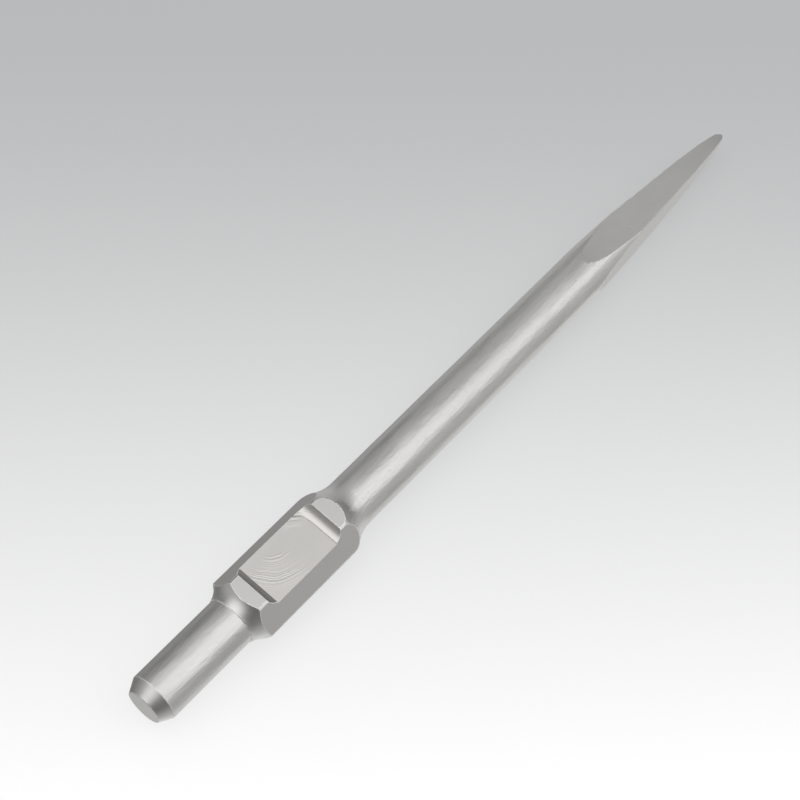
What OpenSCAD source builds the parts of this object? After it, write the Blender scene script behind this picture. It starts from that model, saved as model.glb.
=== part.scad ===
// Point chisel for an electric demolition hammer, with a 30 mm hexagon shank.
// One forged bar: struck tail, hexagon collar with a retainer recess, round body, four-sided point.
// The bar lies along +X from the centre of the struck face, and the recess faces +Z.

/* [Bar] */
// Length from the struck face to the tip
overall_length = 410; // [380:5:600]
// Diameter of the round body between the collar and the point
body_d = 24; // [22:0.5:27]

/* [Tail] */
// Diameter of the turned tail that slides in the hammer's bore
tail_d = 23.5; // [21:0.5:26]
// Distance from the struck face to the ring where the turned tail stops
tail_length = 52; // [38:1:52]
// Diameter of the flat struck face
struck_face_d = 17; // [12:0.5:20]
// Length of the chamfer around the struck face
chamfer_length = 6; // [3:0.5:8]

/* [Hexagon collar] */
// Width across the flats of the hexagon
hex_across_flats = 30; // [28:0.5:32]
// Width across the corners, which are turned down slightly
hex_across_corners = 34; // [33:0.25:34.5]
// Radius of the flare from the tail up to the hexagon
rear_flare_r = 12; // [8:1:12]
// How far the rear flare would start behind the ring, if the tail were not turned down
rear_flare_lead = 3; // [0:0.5:4]
// Radius of the flare from the hexagon down to the body
front_flare_r = 20; // [10:1:20]
// Radius of the shoulder between the hexagon and its front flare
front_shoulder_r = 8; // [2:1:8]
// Distance from the struck face to where the front flare ends
collar_end = 128; // [128:1:150]

/* [Retainer recess] */
// Distance from the struck face to the rear shoulder of the recess
recess_start = 64; // [62:1:80]
// Distance from the struck face to the front shoulder of the recess
recess_end = 110; // [95:1:112]
// Depth of the recess below the flat of the hexagon
recess_depth = 4.5; // [3:0.25:6]
// Radius in the corner between the recess floor and each shoulder
recess_corner_r = 6; // [1:0.5:6]

/* [Point] */
// Length of the four forged faces, from their heels to the tip
point_length = 117; // [95:1:150]
// Angle of the point's faces from the flats of the hexagon
point_turn = 4; // [-45:1:45]
// Half thickness of the point where its faces are pulled in behind the ridges
waist = 8; // [7:0.25:9]
// Half thickness that the swell of the point aims at, ahead of the tip
swell = 6.6; // [5:0.2:7.5]
// Radius of the worn tip
tip_r = 1.6; // [1:0.1:2.5]
// Half angle of the cone that rounds the ridges into the tip
tip_cone_angle = 30; // [22:1:40]

/* [Hidden] */
$fn = 96;
body_r = body_d / 2;
tail_r = tail_d / 2;
corner_r = hex_across_corners / 2;
flat_z = hex_across_flats / 2;
recess_floor_z = flat_z - recess_depth;
heel_x = overall_length - point_length;
tip_centre_x = overall_length - tip_r;
tip_half = 1.3;
heel_allowance = 0.15;
heel_pull = 20;
tip_pull = 18;
face_steps = 28;
clear = 5;
rear_flare_centre = [tail_r + rear_flare_r, tail_length - rear_flare_lead];
front_flare_centre = [body_r + front_flare_r, collar_end];
// The front shoulder is tangent to the corners of the hexagon and to the front flare
shoulder_r = corner_r - front_shoulder_r;
shoulder_x = collar_end - sqrt(
    pow(front_flare_r + front_shoulder_r, 2) - pow(front_flare_centre[0] - shoulder_r, 2)
);
shoulder_share = front_shoulder_r / (front_flare_r + front_shoulder_r);
tangent_point = [shoulder_r, shoulder_x]
    + shoulder_share * (front_flare_centre - [shoulder_r, shoulder_x]);

// Point on a cubic curve that starts at a, leaves towards b, arrives from c and ends at d
function curve(a, b, c, d, t) =
    pow(1 - t, 3) * a + 3 * pow(1 - t, 2) * t * b + 3 * (1 - t) * t * t * c + pow(t, 3) * d;

// Side outline of one pair of point faces, from heel to tip, as [x, half thickness]
function face_outline() = [
    for (i = [0 : face_steps])
        curve(
            [heel_x, body_r + heel_allowance],
            [heel_x + heel_pull, waist],
            [overall_length - tip_pull, swell],
            [overall_length, tip_half],
            i / face_steps
        )
];

// Half section of the turned shape, as [radius, distance from the struck face]
module turned_section() {
    // Tail with its chamfer
    polygon([
        [0, 0],
        [struck_face_d / 2, 0],
        [tail_r, chamfer_length],
        [tail_r, tail_length],
        [0, tail_length]
    ]);
    // Rear flare and the full width of the collar
    difference() {
        translate([0, tail_length])
            square([corner_r, shoulder_x - tail_length]);
        translate(rear_flare_centre)
            circle(r = rear_flare_r, $fn = 180);
    }
    // Front shoulder, rounded over
    translate([shoulder_r, shoulder_x])
        circle(r = front_shoulder_r);
    translate([0, shoulder_x])
        square([shoulder_r, tangent_point[1] - shoulder_x]);
    // Front flare
    difference() {
        translate([0, tangent_point[1]])
            square([tangent_point[0], collar_end - tangent_point[1]]);
        translate(front_flare_centre)
            circle(r = front_flare_r, $fn = 180);
    }
    // Body, its cone and the rounded tip
    tangent_r = tip_r * cos(tip_cone_angle);
    tangent_x = tip_centre_x + tip_r * sin(tip_cone_angle);
    cone_start_x = tangent_x - (body_r - tangent_r) / tan(tip_cone_angle);
    polygon([
        [0, collar_end - 1],
        [body_r, collar_end - 1],
        [body_r, cone_start_x],
        [tangent_r, tangent_x],
        [0, tangent_x]
    ]);
    intersection() {
        translate([0, tip_centre_x])
            circle(r = tip_r);
        translate([0, tip_centre_x])
            square(2 * tip_r);
    }
}

// Hexagon that trims the collar, with a flat facing +Z and clear of everything else
module hexagon_trim() {
    rotate([0, 90, 0])
        rotate([0, 0, 30])
            cylinder(h = overall_length, d = hex_across_flats / cos(30), $fn = 6);
}

// Two opposite faces of the point, seen from the side
module point_pair() {
    outline = face_outline();
    rotate([90, 0, 0])
        linear_extrude(height = 3 * corner_r, center = true)
            polygon(concat(
                [[-clear, 2 * corner_r], [heel_x, 2 * corner_r]],
                outline,
                [for (i = [face_steps : -1 : 0]) [outline[i][0], -outline[i][1]]],
                [[heel_x, -2 * corner_r], [-clear, -2 * corner_r]]
            ));
}

// Milled recess, with a round corner where the floor meets each shoulder
module recess() {
    corner_x = [recess_start + recess_corner_r, recess_end - recess_corner_r];
    corner_z = recess_floor_z + recess_corner_r;
    rotate([90, 0, 0])
        linear_extrude(height = 3 * corner_r, center = true) {
            translate([corner_x[0], recess_floor_z])
                square([corner_x[1] - corner_x[0], recess_depth + clear]);
            translate([recess_start, corner_z])
                square([recess_end - recess_start, recess_depth + clear]);
            for (x = corner_x)
                translate([x, corner_z])
                    circle(r = recess_corner_r);
        }
}

module point_chisel() {
    color("#b9b8b4")
        difference() {
            intersection() {
                rotate([0, 90, 0])
                    rotate_extrude()
                        turned_section();
                hexagon_trim();
                rotate([-point_turn, 0, 0])
                    point_pair();
                rotate([90 - point_turn, 0, 0])
                    point_pair();
            }
            recess();
        }
}

point_chisel();
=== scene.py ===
import math
import bpy
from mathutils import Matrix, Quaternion, Vector


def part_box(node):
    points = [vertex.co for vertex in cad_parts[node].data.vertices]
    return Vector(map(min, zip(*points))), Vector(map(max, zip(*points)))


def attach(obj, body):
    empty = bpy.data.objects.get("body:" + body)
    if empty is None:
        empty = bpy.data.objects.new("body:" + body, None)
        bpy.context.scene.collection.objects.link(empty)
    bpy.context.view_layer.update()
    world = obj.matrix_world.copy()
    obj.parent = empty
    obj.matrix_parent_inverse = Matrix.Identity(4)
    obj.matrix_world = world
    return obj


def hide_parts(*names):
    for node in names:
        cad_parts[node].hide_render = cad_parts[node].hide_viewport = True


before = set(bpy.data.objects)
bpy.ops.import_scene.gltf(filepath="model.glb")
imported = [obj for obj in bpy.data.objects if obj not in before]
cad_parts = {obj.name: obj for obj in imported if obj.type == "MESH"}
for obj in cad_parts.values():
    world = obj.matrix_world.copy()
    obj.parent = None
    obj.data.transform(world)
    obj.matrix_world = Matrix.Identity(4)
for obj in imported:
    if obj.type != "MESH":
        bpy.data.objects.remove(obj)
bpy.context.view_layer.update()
bar_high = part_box("point_chisel")[1]
mm = 0.001


# ---------------------------------------------------------------------------------------------
# The bar: one length of alloy steel. Tail, flares and body are revolved shapes, polished to a
# satin sheen whose fine streaks run along the bar. The struck end's chamfer keeps tool rings.
# ---------------------------------------------------------------------------------------------
length = bar_high[0]
flat_height = bar_high[2]
corner_radius = bar_high[1]
tail_radius = 11.75 * mm
tail_end = 52 * mm
body_radius = 12 * mm
struck_face_radius = 8.5 * mm
chamfer_length = 6 * mm
chamfer_rings = 7
ring_depth = 0.06 * mm
rear_flare_radius = 12 * mm
rear_flare_lead = 3 * mm
rear_flare_rings = 40
scored_rings = (4, 7, 9)
score_depth = 0.03 * mm
front_flare_radius = 20 * mm
front_shoulder_radius = 8 * mm
collar_end = 128 * mm
tip_radius = 1.6 * mm
tip_cone_angle = 30
sectors = 240

# How many rings each stretch of the bar's outline is given.
face_rings = 6
tail_rings = 22
collar_rings = 20
shoulder_rings = 16
front_flare_rings = 24
body_rings = 104
cone_rings = 12
tip_rings = 8
after_flare = 1 * mm
after_collar = 2 * mm
weld = 0.001 * mm


def start_piece(name, add_primitive, **settings):
    """Adds a primitive with nothing else selected and leaves it open in edit mode."""
    bpy.ops.object.select_all(action="DESELECT")
    add_primitive(**settings)
    piece = bpy.context.active_object
    piece.name = name
    bpy.ops.object.transform_apply(location=True, rotation=True, scale=True)
    bpy.ops.object.mode_set(mode="EDIT")
    bpy.ops.mesh.select_all(action="SELECT")
    return piece


def close_piece():
    """Welds the open piece, points its faces outwards and leaves edit mode."""
    bpy.ops.mesh.select_all(action="SELECT")
    bpy.ops.mesh.remove_doubles(threshold=weld)
    bpy.ops.mesh.normals_make_consistent(inside=False)
    bpy.ops.object.mode_set(mode="OBJECT")


def arc(centre, radius, start, end, steps):
    """Points (x, r) along an arc, with its angles in degrees from +x towards +r."""
    turns = [math.radians(start + (end - start) * i / steps) for i in range(steps + 1)]
    return [(centre[0] + radius * math.cos(a), centre[1] + radius * math.sin(a)) for a in turns]


def along(start, end, steps):
    """Evenly spaced points from start towards end, which is left out."""
    return [tuple(a + (b - a) * i / steps for a, b in zip(start, end)) for i in range(steps)]


def tool_rings(start, end, count, depth):
    """A turned stretch that carries shallow rings, as the lathe tool leaves them."""
    step = [(b - a) / count for a, b in zip(start, end)]
    inward = (step[1] / math.hypot(*step) * depth, -step[0] / math.hypot(*step) * depth)
    rings = []
    for x, r in along(start, end, count):
        rings.append((x, r))
        rings.append((x + step[0] / 2 + inward[0], r + step[1] / 2 + inward[1]))
    return rings


# The rear flare starts at a small step, where the tail was turned down, and is scored there.
rear_flare_centre = (tail_end - rear_flare_lead, tail_radius + rear_flare_radius)
rear_flare_start = -90 + math.degrees(math.asin(rear_flare_lead / rear_flare_radius))
rear_flare_end = -90 + math.degrees(math.acos((rear_flare_centre[1] - corner_radius) / rear_flare_radius))
rear_flare = arc(rear_flare_centre, rear_flare_radius, rear_flare_start, rear_flare_end, rear_flare_rings)
for i in scored_rings:
    rear_flare[i] = (rear_flare[i][0], rear_flare[i][1] - score_depth)

# The front shoulder rolls over from the corners of the hexagon into the front flare.
front_flare_centre = (collar_end, body_radius + front_flare_radius)
shoulder_r = corner_radius - front_shoulder_radius
both_radii = front_flare_radius + front_shoulder_radius
shoulder_rise = front_flare_centre[1] - shoulder_r
shoulder_x = collar_end - math.sqrt(both_radii ** 2 - shoulder_rise ** 2)
shoulder_sweep = math.degrees(math.asin(shoulder_rise / both_radii))
front_shoulder = arc((shoulder_x, shoulder_r), front_shoulder_radius, 90, shoulder_sweep, shoulder_rings)
front_flare = arc(front_flare_centre, front_flare_radius, shoulder_sweep - 180, -90, front_flare_rings)

# The tip is a blunt cone with a rounded end.
tip_centre = length - tip_radius
tip_end = arc((tip_centre, 0), tip_radius, 90 - tip_cone_angle, 0, tip_rings)
cone_run = (body_radius - tip_end[0][1]) / math.tan(math.radians(tip_cone_angle))
cone_start = (tip_end[0][0] - cone_run, body_radius)

outline = along((0, 0), (0, struck_face_radius), face_rings)
outline += tool_rings((0, struck_face_radius), (chamfer_length, tail_radius), chamfer_rings, ring_depth)
outline += along((chamfer_length, tail_radius), (tail_end, tail_radius), tail_rings)
outline += [(tail_end, tail_radius)] + rear_flare
flare_top = rear_flare[-1][0]
outline += along((flare_top + after_flare, corner_radius), (shoulder_x, corner_radius), collar_rings)
outline += front_shoulder + front_flare[1:]
outline += along((collar_end + after_collar, body_radius), cone_start, body_rings)
outline += along(cone_start, tip_end[0], cone_rings) + tip_end

bar = start_piece("point_chisel_steel", bpy.ops.mesh.primitive_plane_add, size=1 * mm)
bpy.ops.mesh.merge(type="CENTER")
here = outline[0]
for station in outline[1:]:
    step = (station[0] - here[0], 0, station[1] - here[1])
    bpy.ops.mesh.extrude_region_move(TRANSFORM_OT_translate={"value": step})
    here = station
bpy.ops.mesh.select_all(action="SELECT")
bpy.ops.mesh.spin(steps=sectors, angle=math.tau, center=(0, 0, 0), axis=(1, 0, 0))
close_piece()

# Steel that was forged isn't perfectly even, so its skin swells and sinks a little.
hammer_marks = bpy.data.textures.new("hammer_marks", "CLOUDS")
hammer_marks.noise_scale = 16 * mm
hammer_marks.noise_depth = 1
unevenness_height = 0.14 * mm
unevenness_fade = 20 * mm


def apply_modifier(piece, modifier):
    """Applies one modifier with only its piece selected."""
    bpy.ops.object.select_all(action="DESELECT")
    bpy.context.view_layer.objects.active = piece
    piece.select_set(True)
    bpy.ops.object.modifier_apply(modifier=modifier.name)


def make_uneven(piece, height, start):
    """Moves a piece's skin in and out by up to half of height, from start onwards."""
    forged = piece.vertex_groups.new(name="forged")
    for vertex in piece.data.vertices:
        share = (vertex.co.x - start) / unevenness_fade
        forged.add([vertex.index], min(max(share, 0), 1), "REPLACE")
    unevenness = piece.modifiers.new("unevenness", "DISPLACE")
    unevenness.texture = hammer_marks
    unevenness.texture_coords = "LOCAL"
    unevenness.strength = height
    unevenness.vertex_group = forged.name
    apply_modifier(piece, unevenness)


make_uneven(bar, unevenness_height, shoulder_x)


class Socket:
    """A shader socket. Python's operators on it build the Math nodes."""

    def __init__(self, link):
        self.link = link

    def math(self, operation, *values):
        tree = self.link.id_data
        node = tree.nodes.new("ShaderNodeMath")
        node.operation = operation
        for slot, value in zip(node.inputs, values):
            if isinstance(value, Socket):
                tree.links.new(value.link, slot)
            else:
                slot.default_value = value
        return Socket(node.outputs[0])

    def __add__(self, other):
        return self.math("ADD", self, other)

    def __sub__(self, other):
        return self.math("SUBTRACT", self, other)

    def __rsub__(self, other):
        return self.math("SUBTRACT", other, self)

    def __mul__(self, other):
        return self.math("MULTIPLY", self, other)

    __radd__ = __add__
    __rmul__ = __mul__


class Recipe:
    """The node tree of a finish, of the floor's paint or of the room, and what is made in it."""

    def __init__(self, owner):
        self.owner = owner
        owner.use_nodes = True
        self.tree = owner.node_tree

    def node(self, kind, settings=None, inputs=None, output=0):
        """Adds any node: first its settings, then the values or links of its sockets."""
        node = self.tree.nodes.new("ShaderNode" + kind)
        for name, value in (settings or {}).items():
            setattr(node, name, value)
        self.fill(node, inputs or {})
        return Socket(node.outputs[output])

    def fill(self, node, inputs):
        for name, value in inputs.items():
            if isinstance(value, Socket):
                self.tree.links.new(value.link, node.inputs[name])
            else:
                node.inputs[name].default_value = value

    def place(self):
        """Where a point is on its own piece, in millimetres."""
        metres = self.node("TexCoord", output="Object")
        return self.node("VectorMath", {"operation": "SCALE"}, {0: metres, "Scale": 1 / mm})

    def part(self, vector, axis):
        return self.node("SeparateXYZ", {}, {0: vector}, axis)

    def grain(self, place, size, detail=2, seed=0):
        """Noise from 0 to 1, of the given size in millimetres along x, y and z."""
        scaled = self.node(
            "VectorMath", {"operation": "MULTIPLY_ADD"},
            {0: place, 1: [1 / side for side in size], 2: (seed, seed, seed)},
        )
        return self.node("TexNoise", {}, {"Vector": scaled, "Scale": 1, "Detail": detail})

    def rise(self, value, low, high):
        """0 below low, 1 above high and smooth between."""
        return self.node(
            "MapRange", {"interpolation_type": "SMOOTHSTEP"},
            {"Value": value, "From Min": low, "From Max": high},
        )

    def blend(self, share, low, high):
        """A colour between low and high. A colour Mix has its two colours at sockets 6 and 7."""
        return self.node("Mix", {"data_type": "RGBA"}, {0: share, 6: (*low, 1), 7: (*high, 1)}, 2)

    def make_steel(self, tones, pattern, roughness, height, relief):
        """Bare steel: its two tones and their pattern, its roughness, and its relief in mm."""
        bump = self.node("Bump", {}, {"Height": height, "Distance": relief * mm})
        self.fill(self.tree.nodes["Principled BSDF"], {
            "Metallic": 1, "Base Color": self.blend(pattern, *tones),
            "Roughness": roughness, "Normal": bump,
        })
        return self.owner


def satin_steel():
    """Polished along the bar: soft swirls, wisps and short strokes, and here and there a nick."""
    recipe = Recipe(bpy.data.materials.new("satin_steel"))
    place = recipe.place()
    swirls = recipe.grain(place, (18, 3.5, 3.5), 2)
    wisps = recipe.grain(place, (8, 1.1, 1.1), 4, seed=5)
    strokes = recipe.grain(place, (3.5, 0.35, 0.35), 3, seed=9)
    nicks = recipe.rise(recipe.grain(place, (2.6, 0.7, 0.7), 1, seed=21), 0.73, 0.8)
    rubbed = recipe.rise(recipe.grain(place, (30, 9, 9), 3, seed=3), 0.35, 0.65)
    return recipe.make_steel(
        tones=((0.50, 0.495, 0.485), (0.57, 0.565, 0.55)),
        pattern=0.5 * rubbed + 0.5 * strokes,
        roughness=0.20 + 0.14 * wisps + 0.08 * rubbed,
        height=0.55 * swirls + 0.30 * wisps + (0.04 + 0.09 * rubbed) * strokes - 0.15 * nicks,
        relief=0.38,
    )


def turned_steel():
    """Left by the lathe tool: rings round the bar, cut over the struck face too."""
    recipe = Recipe(bpy.data.materials.new("turned_steel"))
    place = recipe.place()
    rings = recipe.grain(place, (0.3, 30, 30), 2)
    stains = recipe.grain(place, (5, 4, 4), 3, seed=7)
    return recipe.make_steel(
        tones=((0.55, 0.545, 0.535), (0.64, 0.635, 0.62)),
        pattern=0.5 * rings + 0.5 * stains,
        roughness=0.36 + 0.1 * stains,
        height=0.5 * rings + 0.1 * stains,
        relief=0.02,
    )


bar.data.materials.append(satin_steel())
bar.data.materials.append(turned_steel())
for face in bar.data.polygons:
    turned = face.center.x < chamfer_length or tail_end < face.center.x < flare_top
    face.material_index = 1 if turned else 0


# ---------------------------------------------------------------------------------------------
# The hexagon collar: the bar keeps the hexagon of the stock it was cut from, 30 mm across the
# flats. A hexagon prism with eased corners trims the collar and clears the rest of the bar.
# ---------------------------------------------------------------------------------------------
hexagon_ease = 0.35 * mm
clearance = 10 * mm


def combine(piece, tool, operation):
    """Cuts or trims a piece with a tool shape, whose finish is left on the faces it makes."""
    cut = piece.modifiers.new("cut", "BOOLEAN")
    cut.operation = operation
    cut.object = tool
    cut.solver = "EXACT"
    cut.material_mode = "TRANSFER"
    apply_modifier(piece, cut)
    bpy.data.objects.remove(tool)


def select_edges(piece, wanted):
    """Selects the edges that satisfy wanted(end, other_end), with the piece open in edit mode."""
    bpy.ops.mesh.select_mode(type="EDGE")
    bpy.ops.mesh.select_all(action="DESELECT")
    bpy.ops.object.mode_set(mode="OBJECT")
    points = piece.data.vertices
    for edge in piece.data.edges:
        edge.select = wanted(points[edge.vertices[0]].co, points[edge.vertices[1]].co)
    bpy.ops.object.mode_set(mode="EDIT")


def rolled_steel():
    """The stock's own flats, rolled smooth and dull, with faint lines along the bar."""
    recipe = Recipe(bpy.data.materials.new("rolled_steel"))
    place = recipe.place()
    lines = recipe.grain(place, (12, 0.5, 0.5), 3)
    patches = recipe.grain(place, (9, 5, 5), 3, seed=4)
    specks = recipe.rise(recipe.grain(place, (0.8, 0.6, 0.6), 1, seed=13), 0.72, 0.8)
    return recipe.make_steel(
        tones=((0.52, 0.51, 0.495), (0.57, 0.56, 0.545)),
        pattern=0.4 * lines + 0.6 * patches,
        roughness=0.38 + 0.08 * patches,
        height=0.1 * lines + 0.5 * patches - 0.1 * specks,
        relief=0.05,
    )


hexagon = start_piece(
    "hexagon_trim", bpy.ops.mesh.primitive_cylinder_add, vertices=6,
    radius=flat_height / math.cos(math.pi / 6), depth=length + 2 * clearance,
    location=(length / 2, 0, 0), rotation=(0, math.pi / 2, 0),
)
select_edges(hexagon, lambda a, b: abs(a.x - b.x) > clearance)
bpy.ops.mesh.bevel(offset=hexagon_ease, segments=4, profile=0.5)
close_piece()
hexagon.data.materials.append(rolled_steel())
combine(bar, hexagon, "INTERSECT")


# ---------------------------------------------------------------------------------------------
# The retainer recess: milled into the top flat with a round-cornered cutter, then faced a little
# deeper by a cutter that stops in the front corner and leaves a thin crescent at its left end.
# ---------------------------------------------------------------------------------------------
recess_start = 64 * mm
recess_end = 110 * mm
recess_depth = 4.5 * mm
recess_corner = 6 * mm
recess_floor = flat_height - recess_depth
recess_width = 40 * mm
cutter_height = recess_depth + 6 * mm
facing_start = 68.1 * mm
facing_end = 105.4 * mm
facing_left = 13.5 * mm
facing_corner = 11 * mm
facing_depth = 0.35 * mm
facing_rise = 0.4 * mm
facing_turn = ((facing_end - facing_corner) / mm, (facing_left - facing_corner) / mm, 0)
swept_centre = (88, 12, 0)


def milled_steel():
    """Fine arcs left by the cutters, on the rear half and by the crescent, and painted shade in the rear
    corner.
    """
    recipe = Recipe(bpy.data.materials.new("milled_steel"))
    place = recipe.place()

    def sweep_marks(centre, spacing, seed):
        """Uneven rings about a centre, seen from above."""
        flat = recipe.node("VectorMath", {"operation": "MULTIPLY"}, {0: place, 1: (1, 1, 0)})
        reach = recipe.node("VectorMath", {"operation": "DISTANCE"}, {0: flat, 1: centre}, "Value")
        wander = recipe.grain(place, (7, 7, 7), 2, seed=seed)
        turns = reach * (1 / spacing) + 3 * wander
        marks = recipe.node("TexNoise", {"noise_dimensions": "1D"}, {"W": turns, "Scale": 1, "Detail": 1})
        return reach, marks

    reach, swept = sweep_marks(swept_centre, 0.8, 2)
    across = recipe.part(place, "X")
    side = recipe.part(place, "Y")
    zone = recipe.rise(reach, 5, 11) * (1 - recipe.rise(reach, 20, 27))
    zone = zone * (1 - recipe.rise(across, 82, 93)) * (1 - recipe.rise(side, 3, 9))
    turned, last = sweep_marks(facing_turn, 0.9, 8)
    last_zone = recipe.rise(turned, 6, 8) * recipe.rise(across, 94, 98) * recipe.rise(side, 4, 9)
    stains = recipe.grain(place, (10, 6, 6), 3, seed=4)
    pits = recipe.rise(recipe.grain(place, (0.9, 0.7, 0.7), 1, seed=15), 0.72, 0.8)
    # Painted shade: behind the facing, the recess's rear corner is given a darker colour.
    painted_shade_to = facing_start / mm
    outside_painted_shade = 0.5 + 0.5 * recipe.rise(across, painted_shade_to - 0.2, painted_shade_to)
    return recipe.make_steel(
        tones=((0.22, 0.215, 0.205), (0.60, 0.585, 0.56)),
        pattern=outside_painted_shade * (0.84 + 0.1 * stains + 0.06 * swept * zone),
        roughness=0.35 + 0.06 * stains,
        height=swept * zone + 1.2 * last * last_zone + 0.1 * stains - 0.05 * pits,
        relief=0.1,
    )


milled = milled_steel()
cutter = start_piece(
    "recess_cutter", bpy.ops.mesh.primitive_cube_add, size=1,
    location=((recess_start + recess_end) / 2, 0, recess_floor + facing_depth + cutter_height / 2),
    scale=(recess_end - recess_start, recess_width, cutter_height),
)
select_edges(cutter, lambda a, b: abs(a.y - b.y) > clearance and a.z < flat_height)
bpy.ops.mesh.bevel(offset=recess_corner, segments=14, profile=0.5)
close_piece()
cutter.data.materials.append(milled)
combine(bar, cutter, "DIFFERENCE")


# ---------------------------------------------------------------------------------------------
# The edges: every sharp edge is broken by a touch of the file and worn by handling, and painted pale as a
# highlight.
# The floor of the recess is faced and the point is shaped after this, so their edges stay crisp.
# ---------------------------------------------------------------------------------------------
edge_break = 0.2 * mm


def worn_and_highlight_steel():
    """Edges worn by handling and painted pale as a highlight, paler where they were rubbed more."""
    recipe = Recipe(bpy.data.materials.new("worn_and_highlight_steel"))
    place = recipe.place()
    rubbing = recipe.grain(place, (3, 3, 3), 2)
    return recipe.make_steel(
        tones=((0.66, 0.65, 0.64), (0.86, 0.85, 0.83)),
        pattern=recipe.rise(rubbing, 0.3, 0.6),
        roughness=0.7 - 0.1 * rubbing,
        height=rubbing,
        relief=0.01,
    )


worn_and_highlight = worn_and_highlight_steel()
bar.data.materials.append(worn_and_highlight)
broken = bar.modifiers.new("broken_edges", "BEVEL")
broken.width = edge_break
broken.segments = 2
broken.limit_method = "ANGLE"
broken.angle_limit = math.radians(24)
broken.use_clamp_overlap = False
broken.miter_outer = "MITER_ARC"
# The bevel faces take the pale edge colour: edge wear and a painted highlight.
broken.material = len(bar.data.materials) - 1
apply_modifier(bar, broken)

# The facing cutter's front left corner is round, which leaves the crescent.
facing = start_piece(
    "facing_cutter", bpy.ops.mesh.primitive_cube_add, size=1,
    location=((facing_start + facing_end) / 2, facing_left - recess_width / 2,
              recess_floor + (facing_depth + facing_rise) / 2),
    scale=(facing_end - facing_start, recess_width, facing_depth + facing_rise),
)
select_edges(facing, lambda a, b: abs(a.z - b.z) > 0 and a.x > recess_start + recess_corner and a.y > 0)
bpy.ops.mesh.bevel(offset=facing_corner, segments=24, profile=0.5)
close_piece()
facing.data.materials.append(milled)
combine(bar, facing, "DIFFERENCE")


# ---------------------------------------------------------------------------------------------
# The point: four faces forged down from the round body to a blunt tip. They are hollow behind the ridges
# and swell ahead of the tip, and their ridges are a little worn; the side ridges are painted pale as a
# highlight.
# ---------------------------------------------------------------------------------------------
heel_x = length - 117 * mm
heel_allowance = 0.15 * mm
heel_pull = 20 * mm
tip_pull = 18 * mm
past_tip = 3 * mm
past_tip_taper = 0.9
point_turn = math.radians(4)
waist = 8 * mm
swell = 6.6 * mm
tip_half = 1.3 * mm
clear_half = 24 * mm
face_steps = 64
ridge_wear = 0.06


def curve(a, b, c, d, t):
    """Point on a cubic curve that starts at a, leaves towards b, arrives from c and ends at d."""
    weights = ((1 - t) ** 3, 3 * (1 - t) ** 2 * t, 3 * (1 - t) * t * t, t ** 3)
    return tuple(sum(w * p for w, p in zip(weights, parts)) for parts in zip(a, b, c, d))


def ground_steel():
    """The dull, even skin of the point's faces, with a few pits."""
    recipe = Recipe(bpy.data.materials.new("ground_steel"))
    place = recipe.place()
    patches = recipe.grain(place, (14, 6, 6), 3)
    tooth = recipe.grain(place, (0.9, 0.5, 0.5), 3, seed=6)
    pits = recipe.rise(recipe.grain(place, (2.2, 1.2, 1.2), 1, seed=17), 0.70, 0.76)
    return recipe.make_steel(
        tones=((0.50, 0.495, 0.485), (0.55, 0.545, 0.53)),
        pattern=0.7 * patches + 0.3 * tooth,
        roughness=0.44 + 0.06 * patches,
        height=0.7 * patches + 0.06 * tooth - 0.5 * pits,
        relief=0.12,
    )


# The trim shape is far wider than the bar up to the heels of the faces, and follows them on.
face_line = [(-clearance, clear_half), (heel_x, clear_half)]
for i in range(face_steps + 1):
    face_line.append(curve(
        (heel_x, body_radius + heel_allowance), (heel_x + heel_pull, waist),
        (length - tip_pull, swell), (length, tip_half), i / face_steps,
    ))
face_line.append((length + past_tip, tip_half * past_tip_taper))

point = start_piece(
    "point_trim", bpy.ops.mesh.primitive_circle_add, vertices=4, fill_type="NGON",
    radius=clear_half * math.sqrt(2), location=(face_line[0][0], 0, 0), rotation=(0, math.pi / 2, 0),
)
bpy.ops.transform.rotate(value=math.pi / 4 + point_turn, orient_axis="X", center_override=(0, 0, 0))
bpy.ops.mesh.bevel(offset=ridge_wear * clear_half, segments=4, affect="VERTICES")
here = face_line[0]
for station in face_line[1:]:
    bpy.ops.mesh.extrude_region_move(TRANSFORM_OT_translate={"value": (station[0] - here[0], 0, 0)})
    shrink = station[1] / here[1]
    bpy.ops.transform.resize(value=(1, shrink, shrink), center_override=(station[0], 0, 0))
    here = station
close_piece()
point.data.materials.append(ground_steel())
point.data.materials.append(worn_and_highlight)
# The side ridges take the pale edge colour: wear and a painted highlight.
for face in point.data.polygons:
    on_side_ridge = face.normal.y * face.normal.z > math.sin(2 * point_turn)
    face.material_index = 1 if on_side_ridge else 0
combine(bar, point, "INTERSECT")


# ---------------------------------------------------------------------------------------------
# The finished bar: one piece of steel, smooth where it curves and level on its flats. It has no
# other piece to ride on or to carry, and it stands for the whole of the CAD bar.
# ---------------------------------------------------------------------------------------------
smooth_up_to = math.radians(35)
bpy.ops.object.shade_smooth_by_angle(angle=smooth_up_to)
level_flats = bar.modifiers.new("level_flats", "WEIGHTED_NORMAL")
level_flats.keep_sharp = True
apply_modifier(bar, level_flats)

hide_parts("point_chisel")
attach(bar, "root")


# ---------------------------------------------------------------------------------------------
# The studio: a pale pane that the bar lies on, on its collar and the heels of its point, a soft
# room of white panels, three soft lamps and the camera.
# ---------------------------------------------------------------------------------------------
rest_front = shoulder_x
rest_slope = math.atan2(flat_height - body_radius, heel_x - rest_front)
floor_size = 12
away_azimuth = math.radians(44.5)
near_glow_and_paint = (0.55, 0.55, 0.548)
far_glow_and_paint = (0.222, 0.224, 0.227)
near_reach = -320
far_reach = 300
shaded_share = 0.5
bpy.ops.object.select_all(action="DESELECT")
bpy.ops.mesh.primitive_plane_add(
    size=floor_size, location=(rest_front, 0, -flat_height), rotation=(0, -rest_slope, 0),
)
floor = bpy.context.active_object
floor.name = "floor"

# The steel mirrors the room's white panels and not the floor.
floor.visible_glossy = False


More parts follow.
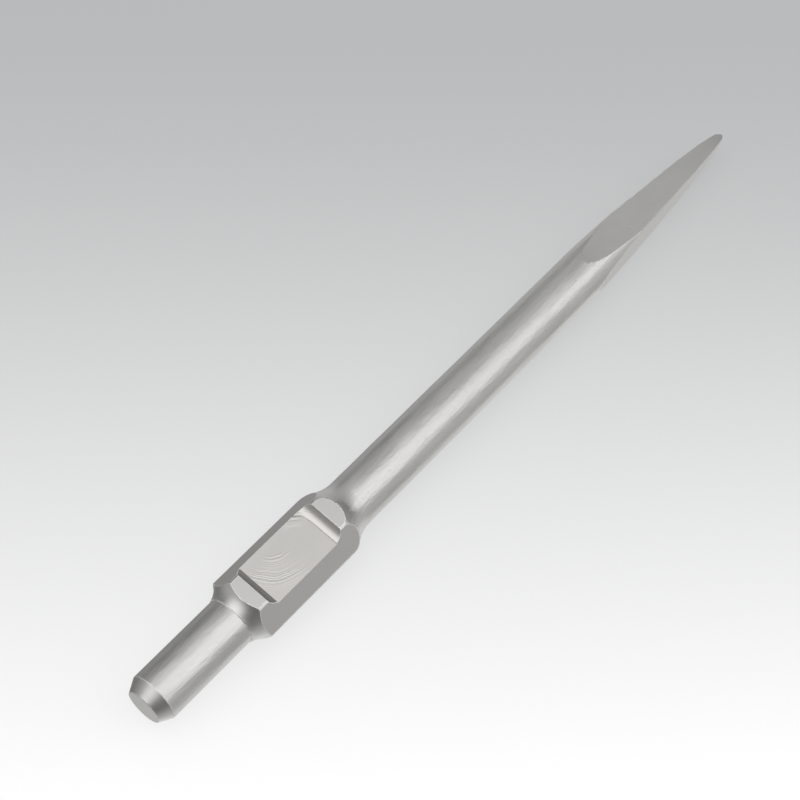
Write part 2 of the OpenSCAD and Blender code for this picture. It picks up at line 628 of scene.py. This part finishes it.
def lit_pane():
    """A white pane that glows with painted light, as if lit softly from below, its glow and colour
    painted darker away from the camera.
    """
    recipe = Recipe(bpy.data.materials.new("lit_pane"))
    place = recipe.place()
    away = math.cos(away_azimuth), math.sin(away_azimuth), 0
    depth = recipe.node("VectorMath", {"operation": "DOT_PRODUCT"}, {0: place, 1: away}, "Value")
    far = recipe.rise(depth, near_reach, far_reach)
    tone = recipe.blend(far, near_glow_and_paint, far_glow_and_paint)
    dim_tones = [[shaded_share * part for part in pale] for pale in (near_glow_and_paint, far_glow_and_paint)]
    shaded = recipe.blend(far, *dim_tones)
    # Painted light: the pane's glow keeps the bar's shadow faint, and its glow and colour fade darker
    # away from the camera.
    recipe.fill(recipe.tree.nodes["Principled BSDF"], {
        "Base Color": shaded, "Roughness": 0.9, "Emission Color": tone, "Emission Strength": 1.68,
    })
    return recipe.owner


floor.data.materials.append(lit_pane())


room_tone = 0.15
seen_tone = 0.8
panel_edge = 0.7
panels = (
    ("left wall", (0.43, 0.90, 0.00), 0.17),
    ("ceiling on the left", (0.43, 0.45, 0.78), 0.47),
    ("ceiling on the right", (0.43, -0.45, 0.78), 0.63),
    ("right wall", (0.43, -0.78, 0.45), 0.47),
    ("ceiling over the camera", (-0.37, 0.18, 0.91), 1.50),
    ("wall behind on the left", (-0.80, 0.60, 0.00), 0.43),
    ("table on the right", (0.43, -0.78, -0.45), 0.43),
    ("table under the bar", (0.43, -0.15, -0.89), 0.62),
    ("table ahead", (0.85, 0.46, -0.26), 0.37),
    ("table on the left", (0.43, 0.65, -0.63), 0.17),
    ("table under the tail", (-0.35, 0.00, -0.94), 0.61),
    ("table behind", (-0.35, -0.66, -0.66), 0.44),
    ("table further ahead", (0.93, -0.20, -0.31), 0.28),
)


def room():
    """Soft white panels round the bar, in a dim room that the camera sees as a pale one."""
    world = bpy.context.scene.world or bpy.data.worlds.new("room")
    bpy.context.scene.world = world
    recipe = Recipe(world)
    way = recipe.node("TexCoord", output="Generated")
    light = room_tone
    for name, towards, brightness in panels:
        facing = recipe.node(
            "VectorMath", {"operation": "DOT_PRODUCT", "label": name}, {0: way, 1: towards}, "Value"
        )
        light = light + brightness * recipe.rise(facing, panel_edge, 1)
    seen = recipe.node("LightPath", output="Is Camera Ray")
    light = light * (1 - seen) + seen_tone * seen
    recipe.fill(recipe.tree.nodes["Background"], {"Color": (1, 1, 1, 1), "Strength": light})


room()


lamps = (
    ("overhead", (0.35, -0.20, 0.80), 0.5, 0.60),
    ("ahead", (0.95, -0.50, 0.70), 0.3, 0.80),
    ("side", (0.35, -0.60, 0.65), 0.5, 0.37),
)


def softbox(name, place, side, radiance):
    """A soft square lamp turned to the middle of the bar, with the brightness of its face given."""
    bpy.ops.object.select_all(action="DESELECT")
    bpy.ops.object.light_add(type="AREA", location=place)
    lamp = bpy.context.active_object
    lamp.name = name
    middle = Vector((length / 2, 0, 0))
    lamp.rotation_euler = (middle - Vector(place)).to_track_quat("-Z", "Y").to_euler()
    lamp.data.shape = "RECTANGLE"
    lamp.data.size = side
    lamp.data.size_y = side
    lamp.data.energy = radiance * math.pi * side ** 2
    lamp.visible_camera = False


for lamp_row in lamps:
    softbox(*lamp_row)

heading = math.radians(28.03)
drop = math.radians(60.9)
distance = 0.8592
roll = math.radians(14.48)
aim = Vector((0.18214, 0.01774, 0))
level = math.cos(drop)
forward = Vector((math.cos(heading) * level, math.sin(heading) * level, -math.sin(drop)))
bpy.ops.object.select_all(action="DESELECT")
bpy.ops.object.camera_add(location=aim - forward * distance)
camera = bpy.context.active_object
camera.rotation_mode = "QUATERNION"
camera.rotation_quaternion = forward.to_track_quat("-Z", "Y") @ Quaternion((0, 0, 1), roll)
camera.data.sensor_width = 36
camera.data.lens = 85.67
camera.data.clip_start = 0.01
bpy.context.scene.camera = camera
bpy.context.scene.view_settings.view_transform = "Standard"
